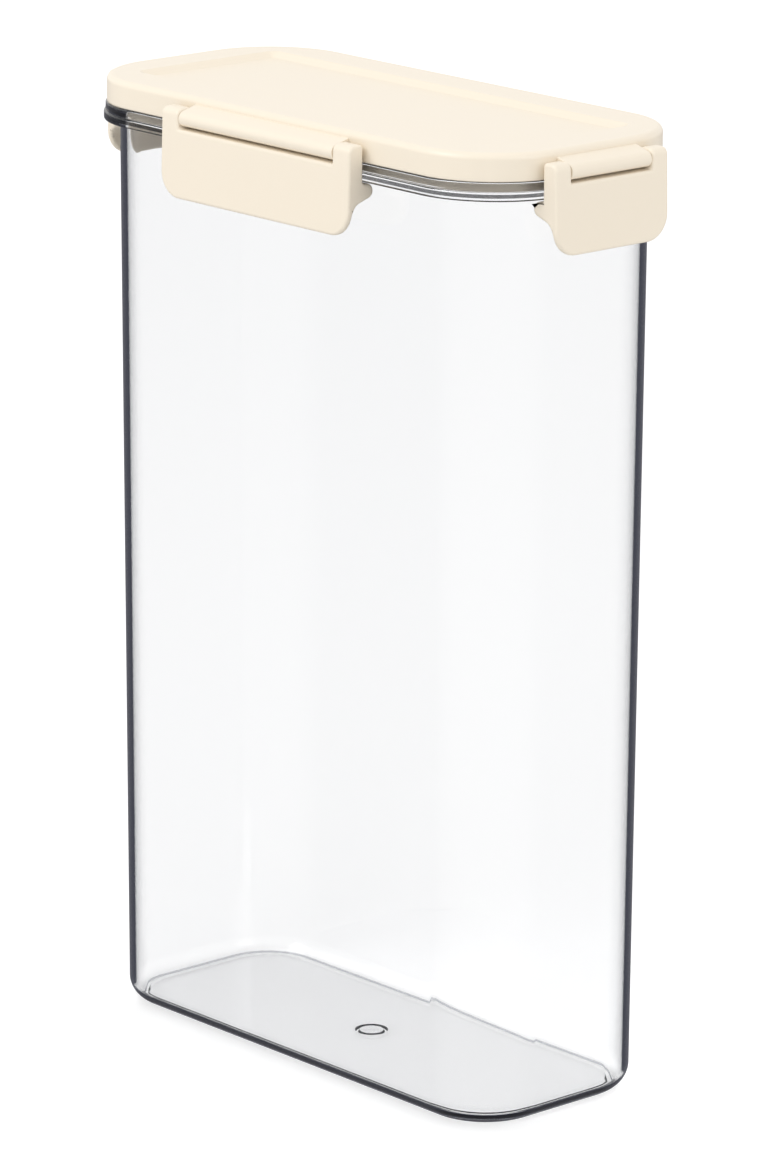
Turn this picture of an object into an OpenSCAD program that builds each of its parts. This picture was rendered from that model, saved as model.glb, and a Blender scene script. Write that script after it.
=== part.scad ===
// Tall clip-lid storage container: a clear tapered body, a cream lid with a seal,
// and four latches that hinge on pins and hook under the body's flange.
// Millimetres, +Z up. Origin: centre of the base, on the ground.

/* [Overall] */
// Height of the closed container
height = 300; // [240:1:340]
// Length of the body's flange, along X
flange_length = 192.8; // [180:0.1:220]
// Width of the body's flange, along Y
flange_width = 87.7; // [84:0.1:110]
// Radius of the flange's corners, seen from above
corner_radius = 28.8; // [28:0.1:36]

/* [Container] */
// Wall thickness
wall = 2; // [1.6:0.1:2.6]
// Floor thickness
floor_thickness = 3; // [2:0.1:4]
// How far the flange stands out from the wall
flange_reach = 5; // [4.6:0.1:5.6]
// How far the wall draws in from the flange to the base
draft = 1.55; // [0.5:0.05:3]
// Radius of the rounded edge round the base
base_radius = 7.5; // [5:0.1:9]
// Radius of the rounded edge inside, between floor and wall
inner_base_radius = 3; // [2:0.5:6]
// Depth of the shallow channels in the floor, one round it and one for the moulding mark
floor_channel = 0.6; // [0.3:0.1:1]
// Height of the flange's two stacked rings together
flange_height = 5.5; // [4.5:0.1:6.5]
// How far the bare rim rises above the flange, inside the lid
rim_height = 2.8; // [2.4:0.1:3]
// Diameter of the ring-shaped moulding mark in the middle of the floor
gate_mark = 9; // [6:0.5:12]

/* [Lid] */
// Height of the lid's outer edge
lid_height = 8.5; // [8:0.1:10]
// How far the lid's edge stands back from the flange's edge
lid_setback = 1; // [0.8:0.1:1.4]
// Thickness of the lid's walls and top
lid_wall = 2.1; // [1.8:0.1:2.4]
// Depth of the recessed panel in the lid's top
recess_depth = 1.8; // [1:0.1:2]
// Width of the lid's raised border along its left and right ends
end_border = 14; // [12:0.5:18]
// Width of the lid's raised border along its front and back
side_border = 14.6; // [12:0.2:18]
// Radius of the recessed panel's corners
panel_corner = 1; // [0.5:0.5:6]
// Gap between the lid's inner skirt and the body's wall
skirt_gap = 0.6; // [0.4:0.1:0.8]

/* [Latches] */
// Length of the front and back latches
long_latch = 86; // [70:1:90]
// Length of the left and right latches
short_latch = 45; // [40:1:48]
// Length of the knuckle on the lid at a front or back latch
long_knuckle = 70; // [54:0.2:74]
// Length of the knuckle on the lid at a left or right latch
short_knuckle = 31.8; // [27:0.2:33]
// Height of a latch, from its lower edge to the top of its ears
latch_height = 27.4; // [26:0.1:30]
// Radius of a latch's lower corners
latch_corner = 8; // [5:0.5:10]
// Thickness of the flap below the hook
flap = 2.3; // [2:0.1:3]
// How far the hook reaches in under the flange
hook_reach = 3.8; // [3:0.1:4.2]
// How far the latch's face leans in at the top
latch_lean = 0.7; // [0:0.1:1]

/* [Hinges] */
// Radius of a hinge pin
pin_radius = 1.2; // [1:0.05:1.4]
// Length of a front or back hinge pin
long_pin = 79.6; // [70:0.2:82]
// Length of a left or right hinge pin
short_pin = 40.6; // [36:0.2:42]
// Radial clearance of a pin in its bores
pin_clearance = 0.05; // [0.02:0.01:0.1]

/* [Hidden] */
$fn = 96;

// Every ring of the body and lid runs round four corner centres, one set for all.
// A ring's profile is drawn as [distance out from the line of centres, height].
centre_x = flange_length / 2 - corner_radius;
centre_y = flange_width / 2 - corner_radius;

flange_r = corner_radius;
wall_top_r = flange_r - flange_reach;
wall_base_r = wall_top_r - draft;
flange_top = height - lid_height - 0.1;
flange_low = flange_top - flange_height;
rim_top = flange_top + rim_height;

ring_step = 0.55;
groove_z = flange_low + flange_height / 2;
groove = 0.3;
edge_round = 0.5;
channel_width = 1.7;
channel_inset = 0.5;
mark_width = 1;

lid_r = flange_r - lid_setback;
lid_low = flange_top + 0.1;
lid_edge_round = 2;
ramp = 2.5;
panel_x = flange_length / 2 - lid_setback - end_border - ramp - panel_corner;
panel_y = flange_width / 2 - lid_setback - side_border - ramp - panel_corner;
plug_r = wall_top_r - wall - skirt_gap;
plug_low = flange_low + 2.1;
slab_low = height - lid_wall;
panel_low = slab_low - recess_depth;
panel_low_r = 15.5;

gasket_low = rim_top + 0.2;
gasket_side = slab_low - 1.7;
seal_ease = 0.05;
gasket_half = (lid_r - lid_wall - plug_r) / 2 - seal_ease;

// The pin axis stands out from the flange, and the latch's profile is drawn round it
pin_out = 3.45;
pin_z = height - 5.8;
knuckle_radius = 2.4;
web_top = 4;
web_in = 3.4;
latch_out = 3.1;
latch_in = 3.2;
ear_top = 3;
latch_low = ear_top - latch_height;
ear_gap = 0.3;
slot_z = -3.2;
hook_tip = pin_out + hook_reach;
nose_radius = 2.3;
nose_z = -11.1;
hollow = 4.4;
hollow_z = -18.6;
bore_radius = pin_radius + pin_clearance;

LID_CREAM = [0.98, 0.94, 0.87];
CLEAR = [0.9, 0.92, 0.94, 0.35];
SEAL_WHITE = [0.93, 0.92, 0.9];
STEEL = [0.75, 0.75, 0.76];

// Points of an arc about centre c, from angle a to angle b
function arc(c, r, a, b, steps = 8) = [
    for (i = [0:steps])
        let (t = a + (b - a) * i / steps)
            [c[0] + r * cos(t), c[1] + r * sin(t)]
];

// One profile swept round four corner centres, as a closed ring
module ring(profile, half_x = centre_x, half_y = centre_y) {
    for (quarter = [0:3]) {
        along = quarter % 2 == 0 ? half_y : half_x;
        out = quarter % 2 == 0 ? half_x : half_y;
        rotate([0, 0, 90 * quarter])
            translate([out, along, 0]) {
                rotate([90, 0, 0])
                    linear_extrude(2 * along)
                        polygon(profile);
                rotate_extrude(angle = 90)
                    polygon(profile);
            }
    }
}

// The flat middle that a ring with a closed centre needs
module middle(low, high, half_x = centre_x, half_y = centre_y) {
    translate([-half_x, -half_y, low])
        cube([2 * half_x, 2 * half_y, high - low]);
}

// Carries a piece drawn on the front side's pin axis to one of the four sides:
// 0 front, 1 right, 2 back, 3 left
module on_side(side) {
    half = side % 2 == 0 ? flange_width / 2 : flange_length / 2;
    rotate([0, 0, 90 * side])
        translate([0, -half - pin_out, pin_z])
            children();
}

// A round bar along X, centred
module bar(radius, length) {
    rotate([0, 90, 0])
        cylinder(r = radius, h = length, center = true);
}

// Clear body: floor, tapered wall, two stacked flange rings and a bare rim in one moulding
module container_body() {
    foot_r = wall_base_r - wall - inner_base_radius;
    channel_z = floor_thickness - floor_channel;
    channel_r = foot_r - channel_inset;
    inner_base_z = floor_thickness + inner_base_radius;
    rim_middle_r = wall_top_r - wall / 2;
    profile = concat(
        [[0, 0]],
        arc([wall_base_r - base_radius, base_radius], base_radius, -90, 0),
        [[wall_top_r, flange_low]],
        arc([flange_r - edge_round, flange_low + edge_round], edge_round, -90, 0, 4),
        [
            [flange_r, groove_z - groove],
            [flange_r - ring_step, groove_z],
            [flange_r - ring_step, flange_top - edge_round]
        ],
        arc([flange_r - ring_step - edge_round, flange_top - edge_round], edge_round, 0, 90, 4),
        [[wall_top_r, flange_top]],
        arc([rim_middle_r, rim_top - wall / 2], wall / 2, 0, 180),
        arc([foot_r, inner_base_z], inner_base_radius, 0, -90),
        [[channel_r, floor_thickness], [channel_r, channel_z]],
        [[channel_r - channel_width, channel_z], [channel_r - channel_width, floor_thickness]],
        [[0, floor_thickness]]
    );
    color(CLEAR)
        difference() {
            union() {
                ring(profile);
                middle(0, floor_thickness);
            }
            rotate_extrude()
                translate([(gate_mark - mark_width) / 2, channel_z])
                    square([mark_width, floor_channel + 1]);
        }
}

// Cream lid: outer skirt, raised border, recessed panel, inner skirt and four knuckles
module lid_cover() {
    skirt_in = lid_r - lid_wall;
    plug_in = plug_r - lid_wall + 0.3;
    profile = concat(
        [[0, panel_low], [panel_low_r, panel_low], [plug_in, slab_low]],
        [[plug_in, plug_low], [plug_r - 0.5, plug_low], [plug_r, plug_low + 1]],
        [[plug_r, slab_low], [skirt_in, slab_low], [skirt_in, lid_low]],
        [[lid_r - 0.3, lid_low], [lid_r, lid_low + 0.3]],
        arc([lid_r - lid_edge_round, height - lid_edge_round], lid_edge_round, 0, 90),
        [[0, height]]
    );
    color(LID_CREAM)
        difference() {
            union() {
                ring(profile);
                middle(panel_low, height);
                for (side = [0:3])
                    on_side(side)
                        knuckle(side % 2 == 0 ? long_knuckle : short_knuckle);
            }
            recess();
            for (side = [0:3])
                on_side(side)
                    bar(bore_radius, long_latch + 10);
        }
}

// The hollow above the lid's panel, with ramps that rise to the border
module recess() {
    panel_top = height - recess_depth;
    above = height + 1;
    slope = ramp / recess_depth;
    profile = [
        [0, panel_top],
        [panel_corner, panel_top],
        [panel_corner + slope * (above - panel_top), above],
        [0, above]
    ];
    ring(profile, panel_x, panel_y);
    middle(panel_top, above, panel_x, panel_y);
}

// Barrel that carries a pin, joined to the lid's edge by a web that rises to the lid's rounding.
// Its end view is drawn as [in towards the body, up] about the pin axis.
module knuckle(length) {
    reach = pin_out + lid_setback + lid_wall / 2;
    end_view = concat(
        arc([0, 0], knuckle_radius, 70, 270, 24),
        [[reach, -knuckle_radius], [reach, web_top], [web_in, web_top]]
    );
    translate([-length / 2, 0, 0])
        rotate([90, 0, 90])
            linear_extrude(length)
                polygon(end_view);
}

// Silicone seal in the lid's channel, with a rounded face that the rim meets
module lid_gasket() {
    middle_r = plug_r + seal_ease + gasket_half;
    drop = gasket_side - gasket_low;
    back = slab_low - seal_ease;
    face = (gasket_half * gasket_half + drop * drop) / (2 * drop);
    spread = asin(gasket_half / face);
    profile = concat(
        arc([middle_r, gasket_low + face], face, -90 - spread, -90 + spread),
        [[middle_r + gasket_half, back], [middle_r - gasket_half, back]]
    );
    color(SEAL_WHITE)
        ring(profile);
}

// Latch: a plate with a hook and a thumb flap, and two ears beside the knuckle.
// Its end view is drawn as [in towards the body, up] about the pin axis.
module latch(length, knuckle_length) {
    flap_in = flap - latch_out;
    inner_round = 1.2;
    outer_round = 2.2;
    end_view = concat(
        arc([flap_in - flap / 2, latch_low + flap / 2], flap / 2, -180, 0),
        arc([flap_in + hollow, hollow_z], hollow, 180, 110),
        arc([hook_tip - nose_radius, nose_z], nose_radius, -70, 90),
        [[latch_in, nose_z + nose_radius]],
        arc([latch_in - inner_round, ear_top - inner_round], inner_round, 0, 90, 6),
        arc([latch_lean - latch_out + outer_round, ear_top - outer_round], outer_round, 90, 180, 6)
    );
    corner = [length / 2 - latch_corner, latch_low + latch_corner];
    slot_half = knuckle_length / 2 + ear_gap;
    front_view = concat(
        arc(corner, latch_corner, -90, 0),
        [[length / 2, ear_top + 1], [slot_half, ear_top + 1], [slot_half, slot_z]],
        [[-slot_half, slot_z], [-slot_half, ear_top + 1], [-length / 2, ear_top + 1]],
        arc([-corner[0], corner[1]], latch_corner, 180, 270)
    );
    intersection() {
        translate([-length / 2 - 1, 0, 0])
            rotate([90, 0, 90])
                linear_extrude(length + 2)
                    polygon(end_view);
        translate([0, 12, 0])
            rotate([90, 0, 0])
                linear_extrude(24)
                    polygon(front_view);
    }
}

// A latch in place, with the blind bores that hold the pin's ends
module latch_on(side) {
    even = side % 2 == 0;
    length = even ? long_latch : short_latch;
    pin_length = even ? long_pin : short_pin;
    color(LID_CREAM)
        on_side(side)
            difference() {
                latch(length, even ? long_knuckle : short_knuckle);
                bar(bore_radius, pin_length + 0.4);
            }
}

// A hinge pin in place
module pin_on(side) {
    color(STEEL)
        on_side(side)
            bar(pin_radius, side % 2 == 0 ? long_pin : short_pin);
}

container_body();
lid_cover();
lid_gasket();
latch_on(0);  // front_latch
latch_on(1);  // right_latch
latch_on(2);  // back_latch
latch_on(3);  // left_latch
pin_on(0);  // front_hinge_pin
pin_on(1);  // right_hinge_pin
pin_on(2);  // back_hinge_pin
pin_on(3);  // left_hinge_pin
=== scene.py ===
"""Clip-lid cereal container in a white studio: a clear tapered body, a cream lid and four latches."""

import math

import bmesh
import bpy
from mathutils import Matrix, Vector


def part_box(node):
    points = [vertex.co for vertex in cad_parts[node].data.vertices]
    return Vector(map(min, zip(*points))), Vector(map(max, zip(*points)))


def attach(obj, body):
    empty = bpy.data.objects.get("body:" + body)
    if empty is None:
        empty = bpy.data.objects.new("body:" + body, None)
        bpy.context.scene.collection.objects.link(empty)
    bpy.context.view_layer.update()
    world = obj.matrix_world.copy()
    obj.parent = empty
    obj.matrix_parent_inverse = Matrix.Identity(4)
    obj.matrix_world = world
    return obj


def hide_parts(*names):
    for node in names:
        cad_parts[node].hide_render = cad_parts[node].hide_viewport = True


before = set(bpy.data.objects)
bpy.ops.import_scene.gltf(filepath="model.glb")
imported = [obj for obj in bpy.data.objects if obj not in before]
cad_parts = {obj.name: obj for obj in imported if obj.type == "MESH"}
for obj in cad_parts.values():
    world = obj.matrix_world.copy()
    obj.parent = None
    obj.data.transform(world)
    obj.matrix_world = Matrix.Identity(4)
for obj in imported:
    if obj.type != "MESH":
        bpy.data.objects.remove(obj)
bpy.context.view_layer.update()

MM = 0.001

# Sizes that the frame's boxes give, in metres
BODY_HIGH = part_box("container_body")[1]
LID_LOW, LID_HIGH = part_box("lid_cover")
SEAL_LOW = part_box("lid_gasket")[0]
FLANGE_X, FLANGE_Y = BODY_HIGH.x, BODY_HIGH.y
RIM_TOP = BODY_HIGH.z
LID_TOP = LID_HIGH.z

# Sizes that the boxes don't give, the same as the solids' own
CORNER_R = 28.8 * MM
FLANGE_REACH = 5 * MM
DRAFT = 1.55 * MM
WALL = 2 * MM
FLOOR = 3 * MM
BASE_R = 7.5 * MM
INNER_BASE_R = 3 * MM
CHANNEL = 0.6 * MM
CHANNEL_WIDTH = 1.7 * MM
MARK_WIDTH = 1 * MM
RIM_HEIGHT = 2.8 * MM
FLANGE_HEIGHT = 5.5 * MM
FLANGE_EDGE = 0.5 * MM
RING_STEP = 0.55 * MM
GATE_R = 4.5 * MM
LID_SETBACK = 1 * MM
LID_WALL = 2.1 * MM
RECESS = 1.8 * MM
END_BORDER = 14 * MM
SIDE_BORDER = 14.6 * MM
RAMP = 2.5 * MM
PANEL_CORNER = 1 * MM
PANEL_LOW_R = 15.5 * MM
SKIRT_GAP = 0.6 * MM
PIN_OUT = 3.45 * MM
PIN_Z = LID_TOP - 5.8 * MM
KNUCKLE_R = 2.4 * MM
WEB_TOP = 4 * MM
LATCH_LOW = -24.4 * MM
EAR_GAP = 0.3 * MM

# The flange's outer face is darkened with painted shade but for a clear strip of this height above its
# lower rounding
CLEAR_STRIP = 0.6 * MM

# A loop this far inside the edge of a flat face keeps the face's shading flat
HOLD = 0.15 * MM

# Every ring runs round four corner centres: one set for all but the panel
CENTRE_X = FLANGE_X - CORNER_R
CENTRE_Y = FLANGE_Y - CORNER_R
PANEL_X = FLANGE_X - LID_SETBACK - END_BORDER - RAMP - PANEL_CORNER
PANEL_Y = FLANGE_Y - LID_SETBACK - SIDE_BORDER - RAMP - PANEL_CORNER
WALL_TOP_R = CORNER_R - FLANGE_REACH
WALL_BASE_R = WALL_TOP_R - DRAFT
FOOT_R = WALL_BASE_R - WALL - INNER_BASE_R
FLANGE_TOP = RIM_TOP - RIM_HEIGHT
FLANGE_LOW = FLANGE_TOP - FLANGE_HEIGHT
LID_R = CORNER_R - LID_SETBACK
PLUG_R = WALL_TOP_R - WALL - SKIRT_GAP
SLAB_LOW = LID_TOP - LID_WALL

SIDES = ("front", "right", "back", "left")

# Studio levels, where 1 is white
FLOOR_GLOW = 0.36
WORLD_LIGHT = 0.79

# What mirrored rays meet: off the outside, inside the nearest wall, beyond it.
# A ray that is mirrored twice or more meets that times GUIDED.
FLOOR_MIRRORED = ((0.25, 0.25, 0.28), (0.03, 0.033, 0.05), (0.5, 0.5, 0.5))
SKY_MIRRORED = ((1, 1, 1), (0.2, 0.205, 0.23), (0.9, 0.9, 0.9))
GUIDED = (0.4, 0.41, 0.44)

# The floor lies this far under the base
FLOOR_DROP = 0.1 * MM


# Camera

def make_camera():
    """The photograph's view: from the front right, a little above, with a long lens."""
    azimuth = math.radians(48.384)
    elevation = math.radians(14.992)
    roll = math.radians(0.3095)
    distance = 1.88335
    aim = Vector((0, 0, 0.15))
    back = Vector((
        math.sin(azimuth) * math.cos(elevation),
        -math.cos(azimuth) * math.cos(elevation),
        math.sin(elevation),
    ))
    level = Vector((math.cos(azimuth), math.sin(azimuth), 0))
    upright = back.cross(level)
    right = level * math.cos(roll) + upright * math.sin(roll)
    up = upright * math.cos(roll) - level * math.sin(roll)
    data = bpy.data.cameras.new("camera")
    data.sensor_width = 36
    data.lens = 188.02
    data.shift_x = 0.0116
    data.shift_y = -0.0068
    data.clip_start = 0.05
    data.clip_end = 50
    camera = bpy.data.objects.new("camera", data)
    turn = Matrix((right, up, back)).transposed().to_4x4()
    camera.matrix_world = Matrix.Translation(aim + back * distance) @ turn
    bpy.context.scene.collection.objects.link(camera)
    bpy.context.scene.camera = camera


# Mesh helpers

def arc(centre, radius, start, end, steps=8):
    """Points of an arc, in degrees."""
    return [
        (
            centre[0] + radius * math.cos(math.radians(start + (end - start) * i / steps)),
            centre[1] + radius * math.sin(math.radians(start + (end - start) * i / steps)),
        )
        for i in range(steps + 1)
    ]


def held(points, closed=True):
    """The outline with a point close to each end of its long straights, so that they shade flat."""
    out = []
    count = len(points)
    for i, point in enumerate(points):
        out.append(point)
        if not closed and i == count - 1:
            break
        after = points[(i + 1) % count]
        step = Vector(after) - Vector(point)
        if step.length > 4 * HOLD:
            lean = step.normalized() * HOLD
            out.append(tuple(Vector(point) + lean))
            out.append(tuple(Vector(after) - lean))
    return out


def stations(half_x, half_y, steps=24):
    """Points on the line between four corner centres, each with its outward direction, once round."""
    near = 0.4 * MM
    out = []
    for quarter, (sx, sy) in enumerate(((1, 1), (-1, 1), (-1, -1), (1, -1))):
        centre = Vector((sx * half_x, sy * half_y))
        first = math.radians(90 * quarter)
        lead = Vector((-math.sin(first), math.cos(first)))
        facing = Vector((math.cos(first), math.sin(first)))
        out.append((centre - lead * near, facing))
        for i in range(steps + 1):
            angle = first + math.radians(90 * i / steps)
            out.append((centre, Vector((math.cos(angle), math.sin(angle)))))
        out.append((centre + Vector((-facing.x, -facing.y)) * near, lead))
    return out


def new_piece(name, bm, smooth_angle=35):
    """A piece from a bmesh, shaded smooth up to the given angle."""
    bmesh.ops.recalc_face_normals(bm, faces=bm.faces)
    mesh = bpy.data.meshes.new(name)
    bm.to_mesh(mesh)
    bm.free()
    piece = bpy.data.objects.new(name, mesh)
    bpy.context.scene.collection.objects.link(piece)
    mesh.shade_smooth()
    if smooth_angle < 180:
        mesh.set_sharp_from_angle(angle=math.radians(smooth_angle))
    return piece


def ring_loops(bm, profile, round_path):
    """One loop of vertices round the path for each point of the profile."""
    return [
        [bm.verts.new((*(centre + facing * out), height)) for centre, facing in round_path]
        for out, height in profile
    ]


def bridge(bm, low, high):
    """Quads between two loops of the same length."""
    count = len(low)
    for i in range(count):
        after = (i + 1) % count
        bm.faces.new((low[i], low[after], high[after], high[i]))


def swept_ring(name, profile):
    """A closed profile swept once round the corner centres."""
    bm = bmesh.new()
    loops = ring_loops(bm, held(profile), stations(CENTRE_X, CENTRE_Y))
    for i, loop in enumerate(loops):
        bridge(bm, loop, loops[(i + 1) % len(loops)])
    return new_piece(name, bm)


def corner_distance(point):
    """How far a point lies outside the line between the corner centres, seen from above."""
    beyond_x = max(abs(point.x) - CENTRE_X, 0)
    beyond_y = max(abs(point.y) - CENTRE_Y, 0)
    return math.hypot(beyond_x, beyond_y)


def circle_loop(bm, count, radius, height):
    """A round loop with its vertices evenly spaced, from halfway between +X and -Y."""
    turns = [math.tau * (i + 0.5) / count for i in range(count)]
    return [bm.verts.new((radius * math.cos(turn), radius * math.sin(turn), height)) for turn in turns]


# Pieces

def outer_profile():
    """The body's section from the underside out and up to the top of the rim."""
    edge = FLANGE_EDGE
    ease = 0.3 * MM
    groove_z = FLANGE_LOW + FLANGE_HEIGHT / 2
    neck = 0.6 * MM
    ring_r = CORNER_R - RING_STEP
    return (
        [(WALL_BASE_R - BASE_R - HOLD, 0)]
        + arc((WALL_BASE_R - BASE_R, BASE_R), BASE_R, -90, 0, 24)
        + arc((WALL_TOP_R + neck, FLANGE_LOW - neck), neck, 180, 90, 6)
        + arc((CORNER_R - edge, FLANGE_LOW + edge), edge, -90, 0, 6)
        + [(CORNER_R, FLANGE_LOW + edge + CLEAR_STRIP)]
        + arc((CORNER_R - edge, groove_z - edge), edge, 0, 80, 6)
        + arc((ring_r - ease, groove_z + 0.35 * MM), ease, -80, 0, 4)
        + arc((ring_r - edge, FLANGE_TOP - edge), edge, 0, 90, 6)
        + arc((WALL_TOP_R + ease, FLANGE_TOP + ease), ease, -90, -180, 4)
        + arc((WALL_TOP_R - WALL / 2, RIM_TOP - WALL / 2), WALL / 2, 0, 90, 6)
    )


def channel(outer, width, depth):
    """A channel in the floor, drawn inwards from its outer edge, with rounded edges and foot."""
    ease = depth / 2
    near = outer - width
    return (
        [(outer + ease + HOLD, FLOOR)]
        + arc((outer + ease, FLOOR - ease), ease, 90, 180, 4)
        + arc((outer - ease, FLOOR - ease), ease, 0, -90, 4)
        + arc((near + ease, FLOOR - ease), ease, -90, -180, 4)
        + arc((near - ease, FLOOR - ease), ease, 0, 90, 4)
        + [(near - ease - HOLD, FLOOR)]
    )


def inner_profile():
    """The section from the top of the rim down to the floor, with the channel round it."""
    inset = 0.5 * MM
    return (
        arc((WALL_TOP_R - WALL / 2, RIM_TOP - WALL / 2), WALL / 2, 105, 180, 6)
        + arc((FOOT_R, FLOOR + INNER_BASE_R), INNER_BASE_R, 0, -90, 16)
        + channel(FOOT_R - inset, CHANNEL_WIDTH, CHANNEL)
    )


def body_material(middle):
    """Index of a face's material: 0 clear, 1 darkened with painted shade in the floor's channels, 2
    darkened with painted shade on the flange.
    """
    near = 0.02 * MM
    out = corner_distance(middle)
    if FLOOR - CHANNEL + near < middle.z < FLOOR - near and out < FOOT_R:
        return 1
    rise = middle.z - FLANGE_LOW
    rounding = near < rise < FLANGE_EDGE
    face = FLANGE_EDGE + CLEAR_STRIP < rise < FLANGE_HEIGHT / 2 - FLANGE_EDGE + near
    if (rounding or face) and out > CORNER_R - FLANGE_EDGE:
        return 2
    return 0


def make_body(materials):
    """The body as one closed shell, with a channel and the moulding mark in its floor."""
    bm = bmesh.new()
    path = stations(CENTRE_X, CENTRE_Y)
    loops = ring_loops(bm, held(outer_profile() + inner_profile(), closed=False), path)
    for low, high in zip(loops, loops[1:]):
        bridge(bm, low, high)
    bm.faces.new(loops[0])
    inner = loops[-1]
    for radius, height in channel(GATE_R + MARK_WIDTH / 2, MARK_WIDTH, CHANNEL):
        circle = circle_loop(bm, len(path), radius, height)
        bridge(bm, inner, circle)
        inner = circle
    bm.faces.new(inner)
    for face in bm.faces:
        face.material_index = body_material(face.calc_center_median())
    piece = new_piece("clear_body", bm, 180)
    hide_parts("container_body")
    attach(piece, "container")
    for material in materials:
        piece.data.materials.append(material)


def lid_profile():
    """The lid's section: underside, inner skirt, channel, outer skirt and the rounding of its border."""
    edge = 0.4 * MM
    plug_in = PLUG_R - LID_WALL + 0.3 * MM
    skirt_in = LID_R - LID_WALL
    top_r = 2 * MM
    low = LID_LOW.z
    return (
        [(PANEL_LOW_R, SLAB_LOW - RECESS)]
        + arc((plug_in - 1 * MM, SLAB_LOW - 1 * MM), 1 * MM, 75, 0, 4)
        + arc((plug_in + edge, low + edge), edge, 180, 270, 4)
        + arc((PLUG_R - edge, low + edge), edge, -90, 0, 4)
        + [(PLUG_R, SLAB_LOW), (skirt_in, SLAB_LOW)]
        + arc((skirt_in + edge, FLANGE_TOP + 0.1 * MM + edge), edge, 180, 270, 4)
        + arc((LID_R - edge, FLANGE_TOP + 0.1 * MM + edge), edge, -90, 0, 4)
        + arc((LID_R - top_r, LID_TOP - top_r), top_r, 0, 90, 12)
        + [(LID_R - top_r - HOLD, LID_TOP)]
    )


def recess_profile():
    """The ramp from the border down to the panel, with both its edges rounded."""
    round_r = 1 * MM
    slope = math.atan2(RECESS, RAMP)
    ease = round_r * math.tan(slope / 2)
    turn = math.degrees(slope)
    return (
        [(PANEL_CORNER + RAMP + ease + HOLD, LID_TOP)]
        + arc((PANEL_CORNER + RAMP + ease, LID_TOP - round_r), round_r, 90, 90 + turn, 5)
        + arc((PANEL_CORNER - ease, LID_TOP - RECESS + round_r), round_r, turn - 90, -90, 5)
        + [(PANEL_CORNER - ease - HOLD, LID_TOP - RECESS)]
    )


def make_lid():
    """Cream lid with its panel closed across the middle."""
    bm = bmesh.new()
    loops = ring_loops(bm, held(lid_profile(), closed=False), stations(CENTRE_X, CENTRE_Y))
    loops += ring_loops(bm, held(recess_profile(), closed=False), stations(PANEL_X, PANEL_Y))
    for low, high in zip(loops, loops[1:]):
        bridge(bm, low, high)
    bm.faces.new(loops[0])
    bm.faces.new(loops[-1])
    piece = new_piece("lid_shell", bm)
    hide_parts("lid_cover")
    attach(piece, "lid")
    return piece


def side_matrix(side):
    """Carries a piece drawn about the front pin axis to one of the four sides."""
    half = FLANGE_Y if side % 2 == 0 else FLANGE_X
    turn = Matrix.Rotation(math.radians(90 * side), 4, "Z")
    return turn @ Matrix.Translation((0, -half - PIN_OUT, PIN_Z))


def prism(outline, length, matrix):
    """An outline of (in, up) points drawn out along X, centred."""
    bm = bmesh.new()
    ends = [
        [bm.verts.new((x, point[0], point[1])) for point in outline]
        for x in (-length / 2, length / 2)
    ]
    bridge(bm, ends[0], ends[1])
    bm.faces.new(ends[0])
    bm.faces.new(ends[1])
    bm.transform(matrix)
    return bm


def soften(piece, width, segments=3):
    """Rounds the piece's real edges."""
    bevel = piece.modifiers.new("soft_edges", "BEVEL")
    bevel.width = width
    bevel.segments = segments
    bevel.limit_method = "ANGLE"
    bevel.angle_limit = math.radians(38)
    bevel.harden_normals = False
    bevel.use_clamp_overlap = False


def make_knuckle(side, material):
    """Barrel that carries the pin, with a web that slopes up from it to the lid's rounding."""
    length = knuckle_length(side)
    reach = PIN_OUT + LID_SETBACK + LID_WALL / 2
    tangent = 107
    outline = (
        arc((0, 0), KNUCKLE_R, tangent, 270, 24)
        + [(reach, -KNUCKLE_R), (reach, WEB_TOP)]
    )
    piece = new_piece(f"{SIDES[side]}_knuckle", prism(outline, length, side_matrix(side)))
    soften(piece, 0.2 * MM)
    piece.data.materials.append(material)
    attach(piece, "lid")


def knuckle_length(side):
    """Length of the barrel on a long side, front or back, or on a short one."""
    return (70 if side % 2 == 0 else 31.8) * MM


def latch_end_view():
    """The latch's outline seen from its end, as (in towards the body, up) from the pin."""
    out, inward, top = 3.1 * MM, 3.2 * MM, 3 * MM
    flap = 2.3 * MM
    flap_in = flap - out
    hollow = 4.4 * MM
    nose = 2.3 * MM
    hook_reach = 3.8 * MM
    nose_at = (PIN_OUT + hook_reach - nose, -11.1 * MM)
    hollow_z = -18.6 * MM
    lean = 0.7 * MM
    inner_round = 1.2 * MM
    outer_round = 2.2 * MM
    fillet = 0.8 * MM
    return (
        [(flap_in - flap, LATCH_LOW), (flap_in, LATCH_LOW)]
        + arc((flap_in + hollow, hollow_z), hollow, 180, 110, 10)
        + arc(nose_at, nose, -70, 90, 14)
        + arc((inward + fillet, nose_at[1] + nose + fillet), fillet, 270, 180, 6)
        + arc((inward - inner_round, top - inner_round), inner_round, 0, 90, 8)
        + arc((lean - out + outer_round, top - outer_round), outer_round, 90, 180, 8)
    )


def latch_front_view(length, slot_half):
    """The latch's outline seen from the front, as (along, up) from the pin."""
    corner = 8 * MM
    at = (length / 2 - corner, LATCH_LOW + corner)
    above = 5 * MM
    slot_z = -3.2 * MM
    below = LATCH_LOW - 1 * MM
    return (
        [(-at[0], below), (at[0], below)]
        + arc(at, corner, -90, 0, 16)
        + [(length / 2, above), (slot_half, above), (slot_half, slot_z)]
        + [(-slot_half, slot_z), (-slot_half, above), (-length / 2, above)]
        + arc((-at[0], at[1]), corner, 180, 270, 16)
    )


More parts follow.
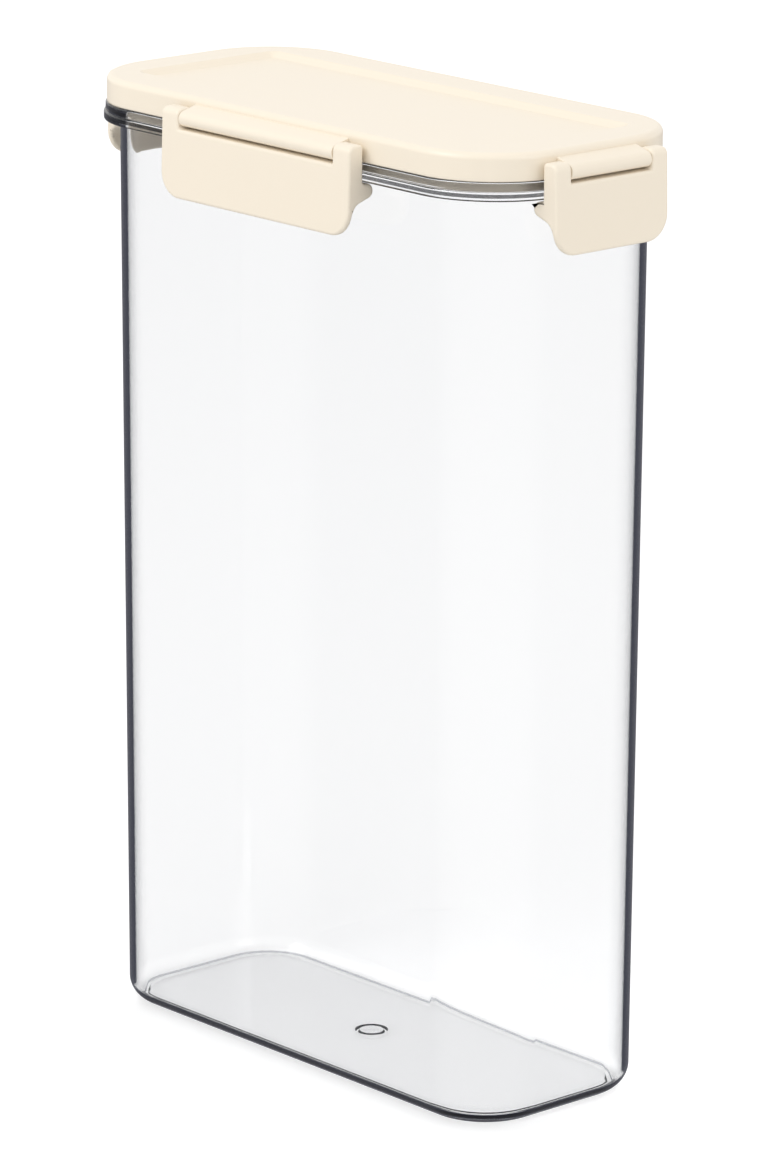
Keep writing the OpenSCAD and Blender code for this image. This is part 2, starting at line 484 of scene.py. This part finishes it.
def intersect(piece, bm):
    """Keeps what the piece and the bmesh share."""
    cutter = new_piece("cutter", bm)
    cut = piece.modifiers.new("cut", "BOOLEAN")
    cut.operation = "INTERSECT"
    cut.solver = "EXACT"
    cut.object = cutter
    graph = bpy.context.evaluated_depsgraph_get()
    result = bpy.data.meshes.new_from_object(piece.evaluated_get(graph))
    piece.modifiers.clear()
    piece.data = result
    bpy.data.objects.remove(cutter)


def make_latch(side, material):
    """One latch: a plate with ears, a hook and a thumb flap, with soft moulded edges."""
    length = (86 if side % 2 == 0 else 45) * MM
    slot_half = knuckle_length(side) / 2 + EAR_GAP
    name = SIDES[side]
    piece = new_piece(f"{name}_latch_shell", prism(latch_end_view(), length, Matrix.Identity(4)))
    upright = Matrix(((0, 1, 0, 0), (1, 0, 0, 0), (0, 0, 1, 0), (0, 0, 0, 1)))
    intersect(piece, prism(latch_front_view(length, slot_half), 30 * MM, upright))
    piece.data.transform(side_matrix(side))
    piece.data.shade_smooth()
    piece.data.set_sharp_from_angle(angle=math.radians(35))
    soften(piece, 0.9 * MM, 4)
    piece.data.materials.clear()
    piece.data.materials.append(material)
    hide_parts(f"{name}_latch")
    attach(piece, f"{name}_clip")


def make_gasket(material):
    """Silicone seal in the lid's channel."""
    middle_r = (PLUG_R + LID_R - LID_WALL) / 2
    half = (LID_R - LID_WALL - PLUG_R) / 2
    low, side_z, top = SEAL_LOW.z, SLAB_LOW - 1.7 * MM, SLAB_LOW
    drop = side_z - low
    face = (half * half + drop * drop) / (2 * drop)
    spread = math.degrees(math.asin(half / face))
    profile = (
        arc((middle_r, low + face), face, -90 - spread, -90 + spread, 12)
        + [(middle_r + half, top), (middle_r - half, top)]
    )
    piece = swept_ring("seal_ring", profile)
    piece.data.materials.append(material)
    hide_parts("lid_gasket")
    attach(piece, "lid")


# Materials

def new_material(name):
    """A material with its nodes, its links and its Principled shader."""
    material = bpy.data.materials.new(name)
    material.use_nodes = True
    nodes = material.node_tree.nodes
    return material, nodes, material.node_tree.links, nodes["Principled BSDF"]


def clear_plastic():
    """Clear styrene: bends light, and thick stretches look blue grey."""
    material, nodes, links, shader = new_material("clear_plastic")
    shader.inputs["Base Color"].default_value = (1, 1, 1, 1)
    shader.inputs["Roughness"].default_value = 0.0
    shader.inputs["IOR"].default_value = 1.52
    shader.inputs["Transmission Weight"].default_value = 1
    output = nodes["Material Output"]
    path = nodes.new("ShaderNodeLightPath")
    through = nodes.new("ShaderNodeBsdfTransparent")
    mix = nodes.new("ShaderNodeMixShader")
    links.new(path.outputs["Is Shadow Ray"], mix.inputs["Fac"])
    links.new(shader.outputs["BSDF"], mix.inputs[1])
    links.new(through.outputs["BSDF"], mix.inputs[2])
    links.new(mix.outputs["Shader"], output.inputs["Surface"])
    absorb = nodes.new("ShaderNodeVolumeAbsorption")
    absorb.inputs["Color"].default_value = (0.66, 0.7, 0.76, 1)
    absorb.inputs["Density"].default_value = 14
    links.new(absorb.outputs["Volume"], output.inputs["Volume"])
    return material


def painted_shade_plastic(name, colour, roughness):
    """The same plastic, a little rough and darkened to grey: painted shade where bent light draws dark
    lines.
    """
    material, _, _, shader = new_material(name)
    shader.inputs["Base Color"].default_value = (*colour, 1)
    shader.inputs["Roughness"].default_value = roughness
    shader.inputs["IOR"].default_value = 1.52
    shader.inputs["Transmission Weight"].default_value = 1
    return material


def cream_plastic():
    """Satin moulded plastic with a very fine grain."""
    material, nodes, links, shader = new_material("cream_plastic")
    shader.inputs["Base Color"].default_value = (0.94, 0.845, 0.7, 1)
    shader.inputs["Roughness"].default_value = 0.36
    place = nodes.new("ShaderNodeTexCoord")
    grain = nodes.new("ShaderNodeTexNoise")
    grain.inputs["Scale"].default_value = 2500
    grain.inputs["Detail"].default_value = 2
    bump = nodes.new("ShaderNodeBump")
    bump.inputs["Strength"].default_value = 0.05
    bump.inputs["Distance"].default_value = 0.0001
    links.new(place.outputs["Object"], grain.inputs["Vector"])
    links.new(grain.outputs["Fac"], bump.inputs["Height"])
    links.new(bump.outputs["Normal"], shader.inputs["Normal"])
    return material


def plain_material(name, colour, roughness, metallic=0.0):
    """One even colour all over."""
    material, _, _, shader = new_material(name)
    shader.inputs["Base Color"].default_value = (*colour, 1)
    shader.inputs["Roughness"].default_value = roughness
    shader.inputs["Metallic"].default_value = metallic
    return material


# Studio

def path_levels(nodes, links, mirrored):
    """Three values from the ray's path: 1 once it has met a matt surface, 1 once it has been mirrored, and
    the colour it then meets, which is dark inside the nearest wall and so draws the body's edges."""
    path = nodes.new("ShaderNodeLightPath")
    switches = []
    for depth in ("Diffuse Depth", "Glossy Depth"):
        switch = nodes.new("ShaderNodeMath")
        switch.operation = "GREATER_THAN"
        switch.inputs[1].default_value = 0.5
        links.new(path.outputs[depth], switch.inputs[0])
        switches.append(switch.outputs[0])
    most_crossed = 10
    crossed = nodes.new("ShaderNodeMath")
    crossed.operation = "DIVIDE"
    crossed.inputs[1].default_value = most_crossed
    links.new(path.outputs["Transmission Depth"], crossed.inputs[0])
    greys = nodes.new("ShaderNodeValToRGB")
    greys.color_ramp.interpolation = "CONSTANT"
    stops = greys.color_ramp.elements
    stops[0].position = 0
    stops[0].color = (*mirrored[0], 1)
    stops[1].position = 0.5 / most_crossed
    stops[1].color = (*mirrored[1], 1)
    stops.new(2.5 / most_crossed).color = (*mirrored[2], 1)
    links.new(crossed.outputs[0], greys.inputs["Fac"])
    again = nodes.new("ShaderNodeMath")
    again.operation = "GREATER_THAN"
    again.inputs[1].default_value = 1.5
    links.new(path.outputs["Glossy Depth"], again.inputs[0])
    guided = nodes.new("ShaderNodeMix")
    guided.data_type = "RGBA"
    guided.blend_type = "MULTIPLY"
    colours = [socket for socket in guided.inputs if socket.type == "RGBA"]
    colours[1].default_value = (*GUIDED, 1)
    links.new(again.outputs[0], guided.inputs["Factor"])
    links.new(greys.outputs["Color"], colours[0])
    result = next(socket for socket in guided.outputs if socket.type == "RGBA")
    return (*switches, result)


def make_floor():
    """White floor that keeps the container's shadow, and is dark where the container mirrors it."""
    bm = bmesh.new()
    half = 6
    corners = ((-half, -half), (half, -half), (half, half), (-half, half))
    bm.faces.new([bm.verts.new((x, y, -FLOOR_DROP)) for x, y in corners])
    floor = new_piece("floor", bm)
    material, nodes, links, lit = new_material("floor_white")
    lit.inputs["Base Color"].default_value = (0.8, 0.8, 0.8, 1)
    lit.inputs["Roughness"].default_value = 0.3
    lit.inputs["Specular IOR Level"].default_value = 0.3
    matt, mirrored, grey = path_levels(nodes, links, FLOOR_MIRRORED)
    glow = nodes.new("ShaderNodeEmission")
    glow.inputs["Color"].default_value = (1, 1, 1, 1)
    glow_level = nodes.new("ShaderNodeMapRange")
    glow_level.inputs["To Min"].default_value = FLOOR_GLOW
    glow_level.inputs["To Max"].default_value = 0
    links.new(matt, glow_level.inputs["Value"])
    links.new(glow_level.outputs["Result"], glow.inputs["Strength"])
    both = nodes.new("ShaderNodeAddShader")
    links.new(lit.outputs["BSDF"], both.inputs[0])
    links.new(glow.outputs["Emission"], both.inputs[1])
    dark = nodes.new("ShaderNodeEmission")
    links.new(grey, dark.inputs["Color"])
    choose = nodes.new("ShaderNodeMixShader")
    links.new(mirrored, choose.inputs["Fac"])
    links.new(both.outputs["Shader"], choose.inputs[1])
    links.new(dark.outputs["Emission"], choose.inputs[2])
    links.new(choose.outputs["Shader"], nodes["Material Output"].inputs["Surface"])
    floor.data.materials.append(material)


def make_world():
    """White surroundings where they are seen, an even soft light on the object, and grey in its mirrors."""
    world = bpy.data.worlds.new("studio")
    bpy.context.scene.world = world
    world.use_nodes = True
    nodes, links = world.node_tree.nodes, world.node_tree.links
    background = nodes["Background"]
    matt, mirrored, grey = path_levels(nodes, links, SKY_MIRRORED)
    lit_level = nodes.new("ShaderNodeMapRange")
    lit_level.inputs["To Min"].default_value = 1.0
    lit_level.inputs["To Max"].default_value = WORLD_LIGHT
    links.new(matt, lit_level.inputs["Value"])
    links.new(lit_level.outputs["Result"], background.inputs["Strength"])
    background.inputs["Color"].default_value = (1, 1, 1, 1)
    mirror_world = nodes.new("ShaderNodeBackground")
    links.new(grey, mirror_world.inputs["Color"])
    choose = nodes.new("ShaderNodeMixShader")
    links.new(mirrored, choose.inputs["Fac"])
    links.new(background.outputs["Background"], choose.inputs[1])
    links.new(mirror_world.outputs["Background"], choose.inputs[2])
    links.new(choose.outputs["Shader"], nodes["World Output"].inputs["Surface"])


def add_lamp(name, place, size, power):
    """A soft square lamp aimed at the container."""
    data = bpy.data.lights.new(name, "AREA")
    data.shape = "SQUARE"
    data.size = size
    data.energy = power
    lamp = bpy.data.objects.new(name, data)
    aim = Vector((0, 0, 0.2))
    lamp.location = place
    lamp.rotation_mode = "QUATERNION"
    lamp.rotation_quaternion = (aim - Vector(place)).to_track_quat("-Z", "Y")
    bpy.context.scene.collection.objects.link(lamp)


def make_lamps():
    """A key lamp from the front left and a weaker fill from the right."""
    add_lamp("key", (-0.6, -1.6, 1.6), 1.0, 14)
    add_lamp("fill", (1.6, 0.2, 0.9), 1.0, 4.5)


make_camera()
make_world()
make_floor()
make_lamps()

CLEAR = clear_plastic()
# Painted shade: the floor's channels are darkened plastic in place of the dark lines that refraction draws
# there
CHANNEL_PAINTED_SHADE = painted_shade_plastic("channel_painted_shade", (0.3, 0.31, 0.34), 0.2)
# Painted shade: the flange's outer face is near-black plastic in place of its dark reflections
FLANGE_PAINTED_SHADE = painted_shade_plastic("flange_painted_shade", (0.04, 0.04, 0.042), 0.1)
CREAM = cream_plastic()
SILICONE = plain_material("seal_silicone", (0.78, 0.77, 0.74), 0.5)
STEEL = plain_material("pin_steel", (0.62, 0.62, 0.63), 0.3, 1.0)

make_body([CLEAR, CHANNEL_PAINTED_SHADE, FLANGE_PAINTED_SHADE])
make_lid().data.materials.append(CREAM)
make_gasket(SILICONE)
for side_index, side_name in enumerate(SIDES):
    make_knuckle(side_index, CREAM)
    make_latch(side_index, CREAM)
    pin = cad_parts[f"{side_name}_hinge_pin"]
    pin.data.materials.clear()
    pin.data.materials.append(STEEL)

view_settings = bpy.context.scene.view_settings
view_settings.view_transform = "Standard"
